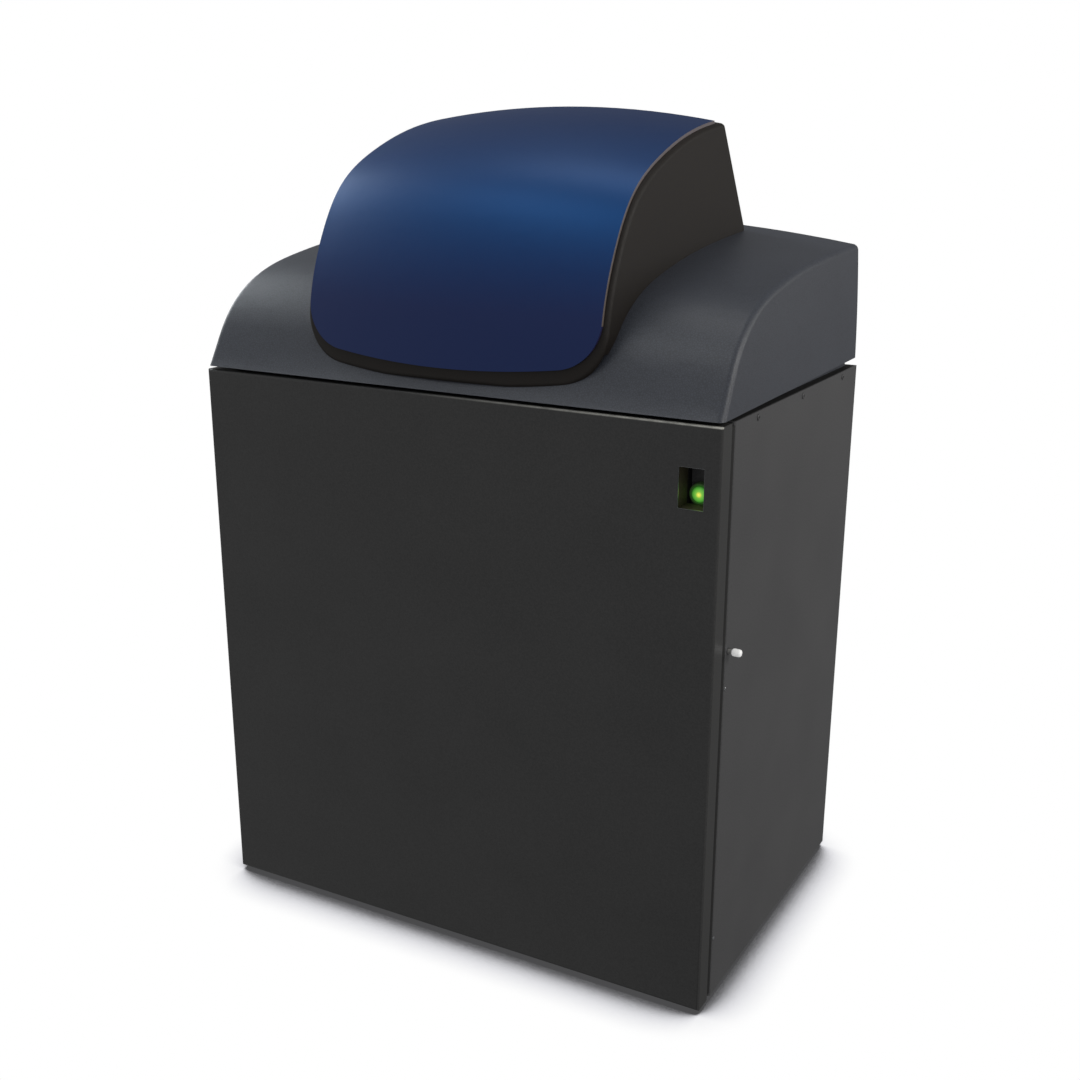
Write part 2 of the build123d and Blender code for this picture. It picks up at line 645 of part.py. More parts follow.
def motor_bracket():
    """Bridge over the pinion that hangs the motor's shaft downwards."""
    x = (PINION_X - 27, PINION_X + 27)
    y = (PINION_Y - 19, PINION_Y + 21)
    bridge = block(x, y, (CABINET_TOP, 550))
    bridge -= block((x[0] + 2, x[1] - 2), (y[0] - 1, y[1] + 1), (CABINET_TOP - 1, 548))
    cut = rod(MODULE * WHEEL_TEETH / 2 + 6, (WHEEL_X, WHEEL_Y, 510), (WHEEL_X, WHEEL_Y, 546.5))
    return bridge - cut - rod(6, (PINION_X, PINION_Y, 540), (PINION_X, PINION_Y, 560))


def gear_motor():
    """Square flanged motor standing on its bracket."""
    half = 20
    body = block((PINION_X - half, PINION_X + half), (PINION_Y - 19, PINION_Y + 21), (550, 584))
    body = chamfer(body.edges().filter_by(Axis.Z), 5)
    return body - rod(2.5 + RUNNING, (PINION_X, PINION_Y, 549), (PINION_X, PINION_Y, 562))


def camera_post(x, y):
    profile = [(0, 0), (6, 0), (6, 8), (4.5, 10), (4.5, 73), (6, 75), (6, 81), (0, 81)]
    return turned(profile, (x, y, CABINET_TOP))


def camera_plate():
    plate = block((-132, 60), (-45, 125), CAMERA_PLATE_Z)
    plate = fillet(plate.edges().filter_by(Axis.Z), 8)
    return plate - rod(24, (OPTIC_X, OPTIC_Y, 590), (OPTIC_X, OPTIC_Y, 610))


def lens_barrel():
    """Stepped and ribbed zoom lens hanging under the camera plate."""
    rings = [(22, 0), (26, 0), (27, 2), (27, 9), (29, 10), (29, 13)]
    for i in range(5):
        low = 14 + 4 * i
        rings += [(32, low), (32, low + 2.5), (30.8, low + 3), (30.8, low + 3.7)]
    rings += [(29, 36), (29, 54), (22, 54)]
    return turned(rings, (OPTIC_X, OPTIC_Y, 546))


def lens_glass():
    profile = [(0, 2.2), (12, 2.9), (22, 5), (22, 8), (0, 8)]
    return turned(profile, (OPTIC_X, OPTIC_Y, 546))


def camera_body():
    """Cooled camera head with fins round its upper half."""
    low = CAMERA_PLATE_Z[1]
    profile = [(0, 0), (38, 0), (38, 30)]
    for i in range(6):
        z = 31 + 7 * i
        profile += [(33, z), (33, z + 3.5), (38, z + 3.5), (38, z + 7)]
    profile += [(33, 74), (0, 76)]
    return turned(profile, (OPTIC_X, OPTIC_Y, low))


# --- Electronics -------------------------------------------------------------------------

def power_supply():
    """Vented metal box on the deck."""
    box = block((152, 236), (-10, 130), (CABINET_TOP, 560))
    box = fillet(box.edges().filter_by(Axis.Y), 2)
    for i in range(8):
        y = 4 + 16 * i
        box -= block((165, 223), (y, y + 5), (558, 565))
    return box


def control_board():
    """Circuit board on pillars, with its larger components."""
    z = CABINET_TOP + 8
    board = block((-238, -156), (-30, 110), (z, z + 1.6))
    for x in (-232, -162):
        for y in (-24, 104):
            board += rod(3, (x, y, CABINET_TOP), (x, y, z))
    board += block((-215, -187), (20, 48), (z + 1.6, z + 5))
    board += block((-232, -224), (0, 80), (z + 1.6, z + 12))
    for y in (-10, 4, 18):
        board += rod(5, (-170, y, z + 1), (-170, y, z + 16))
    return board


# --- Darkroom lights -----------------------------------------------------------------------

LIGHT_Y = (-60.0, 140.0)
LAMP_LOW = (204.0, 470.0)
LAMP_HIGH = (176.0, 500.0)


def light_bar():
    """Right-hand lamp housing in the upper corner, its face sloping to the middle."""
    outline = Polyline((LINER_X, DECK_LOW), (LINER_X, 474), LAMP_LOW, LAMP_HIGH, (LAMP_HIGH[0], DECK_LOW),
                       close=True)
    return extrude(Plane.XZ.offset(-LIGHT_Y[0]) * make_face(outline), amount=-(LIGHT_Y[1] - LIGHT_Y[0]))


def light_diffuser():
    """Opal strip on the lamp housing's sloping face."""
    length = hypot(LAMP_HIGH[0] - LAMP_LOW[0], LAMP_HIGH[1] - LAMP_LOW[1])
    along = ((LAMP_HIGH[0] - LAMP_LOW[0]) / length, (LAMP_HIGH[1] - LAMP_LOW[1]) / length)
    corners = [(3, 0), (length - 3, 0), (length - 4, 2), (4, 2)]
    points = [(LAMP_LOW[0] + u * along[0] - v * along[1], LAMP_LOW[1] + u * along[1] + v * along[0])
              for u, v in corners]
    outline = Polyline(*points, close=True)
    y = (LIGHT_Y[0] + 5, LIGHT_Y[1] - 5)
    return extrude(Plane.XZ.offset(-y[0]) * make_face(outline), amount=-(y[1] - y[0]))


# --- UV drawer -----------------------------------------------------------------------------

GLASS_X = 155.0
GLASS_Y = (-80.0, 110.0)
DRAWER_WALL = 1.5


def rail():
    """Fixed channel of the right-hand runner."""
    outer = block((LINER_X - RAIL, LINER_X), (-108, 132), (RAIL_Z[0] - 4, RAIL_Z[1] + 4))
    return outer - block((LINER_X - RAIL - 1, LINER_X - 2), (-110, 134), (RAIL_Z[0], RAIL_Z[1]))


def drawer_rail():
    """Sliding bar of the right-hand runner, fixed to the drawer's side."""
    bar = block((DRAWER_X, DRAWER_X + 9), (-108, 128), (RAIL_Z[0] + 8, RAIL_Z[1] - 8))
    bar += block((DRAWER_X + 9, DRAWER_X + 19.4), (-108, 128), (RAIL_Z[0] + FIT, RAIL_Z[1] - FIT))
    return bar


def uv_housing():
    """Light box with a window in its top and rounded top edges."""
    box = block((-DRAWER_X, DRAWER_X), DRAWER_Y, DRAWER_Z)
    top_edges = box.edges().filter_by_position(Axis.Z, DRAWER_Z[1] - 0.01, DRAWER_Z[1] + 0.01)
    box = fillet(top_edges, 5)
    wall = DRAWER_WALL
    box -= block((-DRAWER_X + wall, DRAWER_X - wall), (DRAWER_Y[0] + wall, DRAWER_Y[1] - wall),
                 (DRAWER_Z[0] + wall, DRAWER_Z[1] - wall - 3))
    box -= block((-GLASS_X + 5, GLASS_X - 5), (GLASS_Y[0] + 5, GLASS_Y[1] - 5), (120, 140))
    for i in range(9):
        x = -120 + 30 * i
        box -= block((x - 10, x + 10), (DRAWER_Y[1] - 3, DRAWER_Y[1] + 1), (62, 66))
    return box


def filter_glass():
    return block((-GLASS_X, GLASS_X), GLASS_Y, (DRAWER_Z[1], DRAWER_Z[1] + 3))


def glass_frame():
    """Raised bezel that holds the glass down."""
    frame = block((-GLASS_X - 12, GLASS_X + 12), (GLASS_Y[0] - 12, GLASS_Y[1] + 12),
                  (DRAWER_Z[1], DRAWER_Z[1] + 5))
    top = frame.edges().filter_by_position(Axis.Z, DRAWER_Z[1] + 4.99, DRAWER_Z[1] + 5.01)
    frame = chamfer(top, 2)
    frame -= block((-GLASS_X, GLASS_X), GLASS_Y, (DRAWER_Z[1] - 1, DRAWER_Z[1] + 3))
    return frame - block((-GLASS_X + 4, GLASS_X - 4), (GLASS_Y[0] + 4, GLASS_Y[1] - 4), (130, 150))


def tube_places():
    span = GLASS_Y[1] - GLASS_Y[0]
    return [GLASS_Y[0] + span * (i + 0.5) / TUBES for i in range(TUBES)]


def uv_tubes():
    return [rod(8, (-150, y, 92), (150, y, 92)) for y in tube_places()]


def lamp_holder():
    """Right-hand row of tube sockets, standing on the reflector."""
    holder = block((150, 166), (GLASS_Y[0], GLASS_Y[1]), (DRAWER_Z[0] + DRAWER_WALL + 1, 106))
    return fillet(holder.edges().filter_by(Axis.X).sort_by(Axis.Z)[2:], 3)


def reflector():
    """Bright folded tray under the tubes."""
    low = DRAWER_Z[0] + DRAWER_WALL
    return block((-180, 180), (DRAWER_Y[0] + 5, DRAWER_Y[1] - 5), (low, low + 1))


def drawer_handle():
    """Bow handle on two feet, with room for fingers behind it."""
    y = DRAWER_Y[0]
    bar = y - HANDLE_REACH
    path = FilletPolyline((-HANDLE_HALF, y), (-HANDLE_HALF, bar), (HANDLE_HALF, bar), (HANDLE_HALF, y),
                          radius=9)
    start = Plane(origin=(-HANDLE_HALF, y, HANDLE_Z), x_dir=(1, 0, 0), z_dir=(0, -1, 0))
    return sweep(start * Circle(HANDLE_R), path=Pos(0, 0, HANDLE_Z) * path)


def main():
    os.makedirs("parts", exist_ok=True)
    right = side_panel()
    save("left_side_panel", mirror(right, about=Plane.YZ))
    save("right_side_panel", right - lock_bore(3.2))
    save("base_pan", base_pan())
    save("rear_panel", rear_panel())
    save("front_frame", front_frame())
    save("deck_plate", deck_plate())
    save("right_liner", liner())
    save("left_liner", mirror(liner(), about=Plane.YZ))
    save("feet", *[foot(x, y) for x in (-225, 225) for y in (-115, 140)])
    screws = []
    for y in SCREW_ROW:
        screws += both_sides(side_screw(y))
    save("side_screws", *screws)
    save("rear_screws", *[rear_screw(x, z) for x, z in rear_screw_places()])
    save("door_seal", door_seal())

    save("door_skin", door_skin())
    save("door_liner", door_liner())
    save("window_sleeve", window_sleeve())
    save("lock_tongue", lock_tongue())
    for place, (low, height) in HINGE_POSTS.items():
        save(place + "_hinge_post", hinge_post(low, height))
        save(place + "_hinge_knuckle", hinge_knuckle(low, height))
    save("hinge_pins", *[hinge_pin(low, height) for low, height in HINGE_POSTS.values()])

    save("lock_bush", lock_bush())
    save("lock_pin", lock_pin())
    save("lock_knob", lock_knob())
    save("switch_barrel", switch_barrel())
    save("power_button", power_button())

    hood_outside = hood_form(0)
    save("hood", hood(hood_outside))
    save("dome_housing", dome_housing(hood_outside))
    save("fascia_panel", fascia_panel())

    save("service_plate", service_plate())
    save("mains_inlet", mains_inlet())
    save("usb_socket", usb_socket())
    save("fan_frame", fan_frame())
    save("fan_rotor", fan_rotor())

    save("filter_wheel", filter_wheel())
    save("filters", *filters())
    save("drive_pinion", drive_pinion())
    save("motor_shaft", motor_shaft())
    save("wheel_spindle", wheel_spindle())
    save("spindle_collar", spindle_collar())
    save("motor_bracket", motor_bracket())
    save("gear_motor", gear_motor())
    save("camera_posts", *[camera_post(x, y) for x, y in POSTS])
    save("camera_plate", camera_plate())
    save("lens_barrel", lens_barrel())
    save("lens_glass", lens_glass())
    save("camera_body", camera_body())
    save("power_supply", power_supply())
    save("control_board", control_board())

    save("light_bars", *both_sides(light_bar()))
    save("light_diffusers", *both_sides(light_diffuser()))
    save("drawer_rails_fixed", *both_sides(rail()))
    save("drawer_rails_sliding", *both_sides(drawer_rail()))
    save("uv_housing", uv_housing())
    save("filter_glass", filter_glass())
    save("glass_frame", glass_frame())
    save("uv_tubes", *uv_tubes())
    save("lamp_holders", *both_sides(lamp_holder()))
    save("reflector", reflector())
    save("drawer_handle", drawer_handle())


main()
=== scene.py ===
import json
from math import cos, radians, sin, tau

import bmesh
import bpy
from mathutils import Matrix, Vector


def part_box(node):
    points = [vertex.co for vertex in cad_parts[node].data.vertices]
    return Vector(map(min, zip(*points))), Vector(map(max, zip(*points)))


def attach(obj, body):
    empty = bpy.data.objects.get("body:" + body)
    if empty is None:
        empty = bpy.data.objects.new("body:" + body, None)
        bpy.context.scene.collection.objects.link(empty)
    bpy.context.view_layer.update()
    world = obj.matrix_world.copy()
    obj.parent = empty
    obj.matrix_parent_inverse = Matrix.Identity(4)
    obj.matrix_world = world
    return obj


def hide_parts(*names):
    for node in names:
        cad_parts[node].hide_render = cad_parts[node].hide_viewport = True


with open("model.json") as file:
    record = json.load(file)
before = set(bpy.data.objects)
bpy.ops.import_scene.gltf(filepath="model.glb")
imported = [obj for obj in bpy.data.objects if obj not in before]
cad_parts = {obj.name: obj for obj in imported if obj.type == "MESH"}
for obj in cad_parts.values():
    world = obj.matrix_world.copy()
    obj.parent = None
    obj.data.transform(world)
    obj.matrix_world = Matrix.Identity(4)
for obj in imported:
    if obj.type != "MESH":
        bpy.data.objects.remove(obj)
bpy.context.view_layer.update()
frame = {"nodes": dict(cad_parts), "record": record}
NODES = frame["nodes"]
SCENE = bpy.context.scene
MM = 0.001


# --- Camera, light and floor, in metres and degrees --------------------------------------

CAMERA_PLACE = (0.6269, -1.1079, 0.7288)
CAMERA_AZIMUTH = 27.734
CAMERA_ELEVATION = 17.111
CAMERA_ROLL = 0.664
CAMERA_LENS = 45.19
CAMERA_SHIFT = (-0.0363, 0.0109)

# the room is pale in front of the object, dimmer behind it and dark straight below; it turns from one
# to the other between two values of a direction's Y or Z
FRONT_LEVEL = 0.4
REAR_LEVEL = 0.17
REAR_TURN = (-0.1, 0.5)
BELOW_LEVEL = 0.05
BELOW_TURN = (-0.95, -0.5)

# name, place, target, width and length, power in watts, tint
SOFTBOXES = (
    ("overhead_box", (-0.45, -0.75, 2.0), (-0.27, -0.45, 0), (0.9, 0.4), 3.3, (0.95, 0.98, 1.0)),
    ("top_box", (-0.2, 0.15, 2.0), (-0.1, 0.1, 0), (0.5, 0.9), 2.4, (1.0, 1.0, 1.0)),
    ("left_box", (-1.7, 0.25, 1.35), (-0.2, 0, 0.55), (0.8, 0.8), 13.8, (0.9, 0.96, 1.0)),
    ("right_box", (1.9, 0, 1.5), (0.2, 0, 0.45), (0.7, 0.7), 12.5, (1.0, 0.98, 0.94)),
    ("right_rear_box", (1.7, 1.1, 0.9), (0.2, 0.1, 0.35), (0.9, 0.9), 7.0, (1.0, 0.98, 0.95)),
)

FLOOR_RADIUS = 1.15
SHADOW_REACH = 0.075
SHADOW_SAMPLES = 24
SHADOW_STOPS = [(0.11, "#3c3c3d"), (0.15, "#68686a"), (0.2, "#a2a2a6"), (0.28, "#c6c6ca"),
                (0.45, "#e2e2e6"), (0.9, "#ffffff")]


def make_camera():
    """A camera that looks along an azimuth and elevation, with a slight roll."""
    a, e, r = radians(CAMERA_AZIMUTH), radians(CAMERA_ELEVATION), radians(CAMERA_ROLL)
    back = Vector((sin(a) * cos(e), -cos(a) * cos(e), sin(e)))
    level = Vector((cos(a), sin(a), 0))
    upright = back.cross(level)
    right = level * cos(r) + upright * sin(r)
    up = upright * cos(r) - level * sin(r)
    data = bpy.data.cameras.new("camera")
    data.sensor_width = 36.0
    data.lens = CAMERA_LENS
    data.shift_x, data.shift_y = CAMERA_SHIFT
    data.clip_end = 50
    camera = bpy.data.objects.new("camera", data)
    turn = Matrix((right, up, back)).transposed().to_4x4()
    camera.matrix_world = Matrix.Translation(CAMERA_PLACE) @ turn
    SCENE.collection.objects.link(camera)
    SCENE.camera = camera


def make_lights():
    """Rectangular softboxes, each at a place and facing its target."""
    for name, place, target, size, watts, tint in SOFTBOXES:
        data = bpy.data.lights.new(name, "AREA")
        data.shape = "RECTANGLE"
        data.size, data.size_y = size
        data.energy = watts
        data.color = tint
        light = bpy.data.objects.new(name, data)
        facing = (Vector(target) - Vector(place)).to_track_quat("-Z", "Y")
        light.matrix_world = Matrix.Translation(place) @ facing.to_matrix().to_4x4()
        SCENE.collection.objects.link(light)


def make_world():
    """Plain white surroundings to the eye, and a softly graded room to the object."""
    world = bpy.data.worlds.new("studio")
    world.use_nodes = True
    tree = world.node_tree
    tree.nodes.clear()
    way = add(tree, "ShaderNodeTexCoord").outputs["Generated"]
    direction = add(tree, "ShaderNodeSeparateXYZ", {"Vector": way})
    level = add(tree, "ShaderNodeMapRange",
                {"Value": direction.outputs["Y"], "From Min": REAR_TURN[0], "From Max": REAR_TURN[1],
                 "To Min": FRONT_LEVEL, "To Max": REAR_LEVEL}, interpolation_type="SMOOTHSTEP")
    below = add(tree, "ShaderNodeMapRange",
                {"Value": direction.outputs["Z"], "From Min": BELOW_TURN[0], "From Max": BELOW_TURN[1],
                 "To Min": BELOW_LEVEL})
    strength = add(tree, "ShaderNodeMath", {0: level.outputs[0], 1: below.outputs[0]}, operation="MULTIPLY")
    fill = add(tree, "ShaderNodeBackground", {"Color": (1, 1, 1, 1), "Strength": strength.outputs[0]})
    seen = add(tree, "ShaderNodeBackground", {"Color": (1, 1, 1, 1), "Strength": 1.0})
    path = add(tree, "ShaderNodeLightPath")
    mixed = add(tree, "ShaderNodeMixShader",
                {0: path.outputs["Is Camera Ray"], 1: fill.outputs[0], 2: seen.outputs[0]})
    add(tree, "ShaderNodeOutputWorld", {"Surface": mixed.outputs[0]})
    SCENE.world = world


def make_floor():
    """A round sheet of paper that runs out of view into the white surroundings."""
    mesh = bpy.data.meshes.new("floor")
    shape = bmesh.new()
    bmesh.ops.create_circle(shape, cap_ends=True, segments=96, radius=FLOOR_RADIUS)
    shape.to_mesh(mesh)
    shape.free()
    mesh.materials.append(studio_paper("studio_paper"))
    floor = bpy.data.objects.new("floor", mesh)
    SCENE.collection.objects.link(floor)
    floor.visible_diffuse = False
    floor.visible_glossy = False


# --- Materials ---------------------------------------------------------------------------

def colour(hex_value):
    """An sRGB hex colour as linear RGBA."""
    channels = [int(hex_value[i:i + 2], 16) / 255 for i in (1, 3, 5)]
    linear = [c / 12.92 if c <= 0.04045 else ((c + 0.055) / 1.055) ** 2.4 for c in channels]
    return (*linear, 1.0)


def add(tree, kind, inputs=None, stops=(), **settings):
    """One shader node: its settings, values or links on its inputs, and a ramp's colour stops."""
    node = tree.nodes.new(kind)
    for name, value in settings.items():
        setattr(node, name, value)
    for name, value in (inputs or {}).items():
        if isinstance(value, bpy.types.NodeSocket):
            tree.links.new(value, node.inputs[name])
        else:
            node.inputs[name].default_value = value
    if stops:
        elements = node.color_ramp.elements
        while len(elements) < len(stops):
            elements.new(0.5)
        for element, (position, hex_value) in zip(elements, stops):
            element.position = position
            element.color = colour(hex_value)
    return node


def per_mm(size):
    """Texture scale that makes one feature this many millimetres wide."""
    return 1 / (size * MM)


def new_material(name):
    """An empty material and its tree."""
    material = bpy.data.materials.new(name)
    material.use_nodes = True
    material.node_tree.nodes.clear()
    return material, material.node_tree


def surface(tree, inputs):
    """The Principled shader that ends a material, with what feeds it."""
    shader = add(tree, "ShaderNodeBsdfPrincipled", inputs)
    add(tree, "ShaderNodeOutputMaterial", {"Surface": shader.outputs[0]})


def powder_coat(name, dark, light, grain=1.5, roughness=0.4, fold_highlight_colour=None):
    """Polyester powder coat, sprayed and baked: a fine pebbled skin, very slightly mottled."""
    material, tree = new_material(name)
    place = add(tree, "ShaderNodeTexCoord").outputs["Object"]
    # the real pebble is about 0.4 mm; it is drawn coarser so that it shows
    pebble = add(tree, "ShaderNodeTexNoise",
                 {"Vector": place, "Scale": per_mm(grain), "Detail": 3.0, "Roughness": 0.6})
    # the sprayed film varies over a hand's width
    cloud = add(tree, "ShaderNodeTexNoise", {"Vector": place, "Scale": per_mm(70), "Detail": 1.0})
    mottle = add(tree, "ShaderNodeMath", {0: cloud.outputs["Fac"], 1: 0.25, 2: pebble.outputs["Fac"]},
                 operation="MULTIPLY_ADD")
    coat = add(tree, "ShaderNodeValToRGB", {"Fac": mottle.outputs[0]}, [(0.4, dark), (0.85, light)])
    # the door's coat can carry a painted highlight along its top fold
    base = painted_fold_highlight(tree, place, coat.outputs[0], fold_highlight_colour) if fold_highlight_colour else coat.outputs[0]
    bump = add(tree, "ShaderNodeBump",
               {"Height": pebble.outputs["Fac"], "Strength": 0.3, "Distance": 0.1 * MM})
    surface(tree, {"Base Color": base, "Roughness": roughness, "Specular IOR Level": 0.4,
                   "Normal": bump.outputs[0]})
    return material


# the painted highlight starts below the door's top, wraps over its front and spreads to the right
FOLD_HIGHLIGHT_RISE = (1.9 * MM, 1.0 * MM)
FOLD_HIGHLIGHT_DEPTH = (2.6 * MM, 1.6 * MM)
FOLD_HIGHLIGHT_X = (-40 * MM, 250 * MM)


def painted_fold_highlight(tree, place, coat, fold_highlight_colour):
    """A painted highlight: the coat drawn pale in patches along the top fold of the door, most towards its
    right end.
    """
    parts = add(tree, "ShaderNodeSeparateXYZ", {"Vector": place})
    fold = add(tree, "ShaderNodeMapRange",
               {"Value": parts.outputs["Z"], "From Min": DOOR_HIGH.z - FOLD_HIGHLIGHT_RISE[0],
                "From Max": DOOR_HIGH.z - FOLD_HIGHLIGHT_RISE[1]})
    front = add(tree, "ShaderNodeMapRange",
                {"Value": parts.outputs["Y"], "From Min": DOOR_LOW.y + FOLD_HIGHLIGHT_DEPTH[0],
                 "From Max": DOOR_LOW.y + FOLD_HIGHLIGHT_DEPTH[1]})
    reach = add(tree, "ShaderNodeMapRange",
                {"Value": parts.outputs["X"], "From Min": FOLD_HIGHLIGHT_X[0], "From Max": FOLD_HIGHLIGHT_X[1]})
    patches = add(tree, "ShaderNodeTexNoise", {"Vector": place, "Scale": per_mm(9), "Detail": 3.0})
    patchy_highlight = add(tree, "ShaderNodeMapRange",
                 {"Value": patches.outputs["Fac"], "From Min": 0.3, "From Max": 0.6, "To Min": 0.55})
    amount = fold.outputs[0]
    for part in (front, reach, patchy_highlight):
        amount = add(tree, "ShaderNodeMath", {0: amount, 1: part.outputs[0]}, operation="MULTIPLY").outputs[0]
    return add(tree, "ShaderNodeMix", {0: amount, 6: coat, 7: colour(fold_highlight_colour)}, data_type="RGBA").outputs[2]


def grained_moulding(name, dark, light, cell=1.9, roughness=0.42, depth=0.06, shine=0.5):
    """Moulded ABS with a fine etched leather grain: rounded cells parted by shallow creases."""
    material, tree = new_material(name)
    place = add(tree, "ShaderNodeTexCoord").outputs["Object"]
    bend = add(tree, "ShaderNodeTexNoise", {"Vector": place, "Scale": per_mm(cell * 2.2), "Detail": 2.0})
    offset = add(tree, "ShaderNodeVectorMath", {0: bend.outputs["Color"], "Scale": cell * 0.9 * MM},
                 operation="SCALE")
    warped = add(tree, "ShaderNodeVectorMath", {0: place, 1: offset.outputs[0]}, operation="ADD")
    cells = add(tree, "ShaderNodeTexVoronoi", {"Vector": warped.outputs[0], "Scale": per_mm(cell)},
                feature="DISTANCE_TO_EDGE")
    crease = add(tree, "ShaderNodeMapRange", {"Value": cells.outputs["Distance"], "From Max": 0.25})
    cloud = add(tree, "ShaderNodeTexNoise", {"Vector": place, "Scale": per_mm(80), "Detail": 1.0})
    shade = add(tree, "ShaderNodeMath", {0: cloud.outputs["Fac"], 1: 0.4, 2: crease.outputs[0]},
                operation="MULTIPLY_ADD")
    body = add(tree, "ShaderNodeValToRGB", {"Fac": shade.outputs[0]}, [(0.1, dark), (1.2, light)])
    bump = add(tree, "ShaderNodeBump", {"Height": crease.outputs[0], "Strength": 0.3, "Distance": depth * MM})
    surface(tree, {"Base Color": body.outputs[0], "Roughness": roughness, "Specular IOR Level": shine,
                   "Normal": bump.outputs[0]})
    return material


FASCIA_PAINTED_BAND_START = 45 * MM
FASCIA_EDGE = 0.15 * MM


def metallic_lacquer(name, low, high, top, edge, flash):
    """Metallic blue lacquer: violet navy low down, a painted highlight band of clearer blue above it, and
    painted shade darker again at the top.
    """
    material, tree = new_material(name)
    place = add(tree, "ShaderNodeTexCoord").outputs["Object"]
    # flakes are under 0.1 mm; they are drawn at 0.6 mm so that they still show
    flakes = add(tree, "ShaderNodeTexVoronoi", {"Vector": place, "Scale": per_mm(0.6)})
    grey = add(tree, "ShaderNodeRGBToBW", {"Color": flakes.outputs["Color"]})
    parts = add(tree, "ShaderNodeSeparateXYZ", {"Vector": place})
    # painted light: going up, the colour brightens into a highlight band and darkens again at the top as
    # painted shade
    painted_band_rise = add(tree, "ShaderNodeMapRange",
               {"Value": parts.outputs["Z"], "From Min": FASCIA_LOW.z + FASCIA_PAINTED_BAND_START,
                "From Max": FASCIA_HIGH.z})
    flakes_and_painted_band = add(tree, "ShaderNodeMath", {0: grey.outputs[0], 1: 0.12, 2: painted_band_rise.outputs[0]},
                  operation="MULTIPLY_ADD")
    body = add(tree, "ShaderNodeValToRGB", {"Fac": flakes_and_painted_band.outputs[0]},
               [(0.08, low), (0.55, high), (0.7, high), (1.0, top)])
    # the sheet's cut edges at both sides are left bare; their pale colour is partly a painted highlight
    side = add(tree, "ShaderNodeMath", {0: parts.outputs["X"]}, operation="ABSOLUTE")
    at_edge = add(tree, "ShaderNodeMath", {0: side.outputs[0], 1: FASCIA_HIGH.x - FASCIA_EDGE},
                  operation="GREATER_THAN")
    dressed = add(tree, "ShaderNodeMix", {0: at_edge.outputs[0], 6: body.outputs[0], 7: colour(edge)},
                  data_type="RGBA")
    bump = add(tree, "ShaderNodeBump", {"Height": grey.outputs[0], "Strength": 0.04, "Distance": 0.03 * MM})
    surface(tree, {"Base Color": dressed.outputs[2], "Roughness": 0.42, "Specular IOR Level": 1.0,
                   "Specular Tint": colour(flash), "Normal": bump.outputs[0]})
    return material


def bare_metal(name, dark, light, roughness, stretch=(1, 1, 18)):
    """Bare metal as drawn or turned: fine lines along one direction, which smear its highlights."""
    material, tree = new_material(name)
    place = add(tree, "ShaderNodeTexCoord").outputs["Object"]
    # lines 9 mm long and 0.5 mm apart; real ones are finer, and these are as coarse as they need to show
    lined = add(tree, "ShaderNodeMapping", {"Vector": place, "Scale": stretch})
    lines = add(tree, "ShaderNodeTexNoise", {"Vector": lined.outputs[0], "Scale": per_mm(9), "Detail": 4.0})
    body = add(tree, "ShaderNodeValToRGB", {"Fac": lines.outputs["Fac"]}, [(0.3, dark), (0.7, light)])
    rough = add(tree, "ShaderNodeMapRange",
                {"Value": lines.outputs["Fac"], "To Min": roughness * 0.8, "To Max": roughness * 1.25})
    surface(tree, {"Base Color": body.outputs[0], "Metallic": 1.0, "Roughness": rough.outputs[0]})
    return material


def moulded_plastic(name, dark, light, roughness=0.35, grain=0.8, glow=0.0):
    """Moulded plastic: smooth, with the faint unevenness of a polished tool; white acetal is given a faint
    painted glow.
    """
    material, tree = new_material(name)
    place = add(tree, "ShaderNodeTexCoord").outputs["Object"]
    skin = add(tree, "ShaderNodeTexNoise", {"Vector": place, "Scale": per_mm(grain), "Detail": 3.0})
    body = add(tree, "ShaderNodeValToRGB", {"Fac": skin.outputs["Fac"]}, [(0.3, dark), (0.7, light)])
    bump = add(tree, "ShaderNodeBump",
               {"Height": skin.outputs["Fac"], "Strength": 0.12, "Distance": 0.05 * MM})
    surface(tree, {"Base Color": body.outputs[0], "Roughness": roughness, "Emission Color": (1, 1, 1, 1),
                   "Emission Strength": glow, "Normal": bump.outputs[0]})
    return material


def foam_rubber(name, dark, light):
    """Closed-cell foam or moulded rubber: matt, pitted and dusty black."""
    material, tree = new_material(name)
    place = add(tree, "ShaderNodeTexCoord").outputs["Object"]
    # cells are about 0.5 mm; they are drawn at 1.2 mm so that they show
    pits = add(tree, "ShaderNodeTexVoronoi", {"Vector": place, "Scale": per_mm(1.2)})
    body = add(tree, "ShaderNodeValToRGB", {"Fac": pits.outputs["Distance"]}, [(0.1, dark), (0.8, light)])
    bump = add(tree, "ShaderNodeBump",
               {"Height": pits.outputs["Distance"], "Strength": 0.4, "Distance": 0.2 * MM})
    surface(tree, {"Base Color": body.outputs[0], "Roughness": 0.85, "Normal": bump.outputs[0]})
    return material


def tinted_glass(name, tint, transmission=0.9):
    """Polished glass with a body colour and a faintly uneven surface."""
    material, tree = new_material(name)
    place = add(tree, "ShaderNodeTexCoord").outputs["Object"]
    ripple = add(tree, "ShaderNodeTexNoise", {"Vector": place, "Scale": per_mm(30)})
    bump = add(tree, "ShaderNodeBump",
               {"Height": ripple.outputs["Fac"], "Strength": 0.04, "Distance": 0.1 * MM})
    surface(tree, {"Base Color": colour(tint), "Roughness": 0.03, "IOR": 1.5,
                   "Transmission Weight": transmission, "Normal": bump.outputs[0]})
    return material


GLOW_REACH = 10 * MM
CAP_GLOW = [(0.0, "#f4f266"), (0.13, "#d6dc52"), (0.26, "#78ba44"), (0.48, "#52a038"), (0.7, "#1c4a16")]
# painted light on the bezel round the lit cap
BEZEL_PAINTED_GLOW = [(0.6, "#3d7d2a"), (0.8, "#2a4c1c"), (0.95, "#1d2a16")]


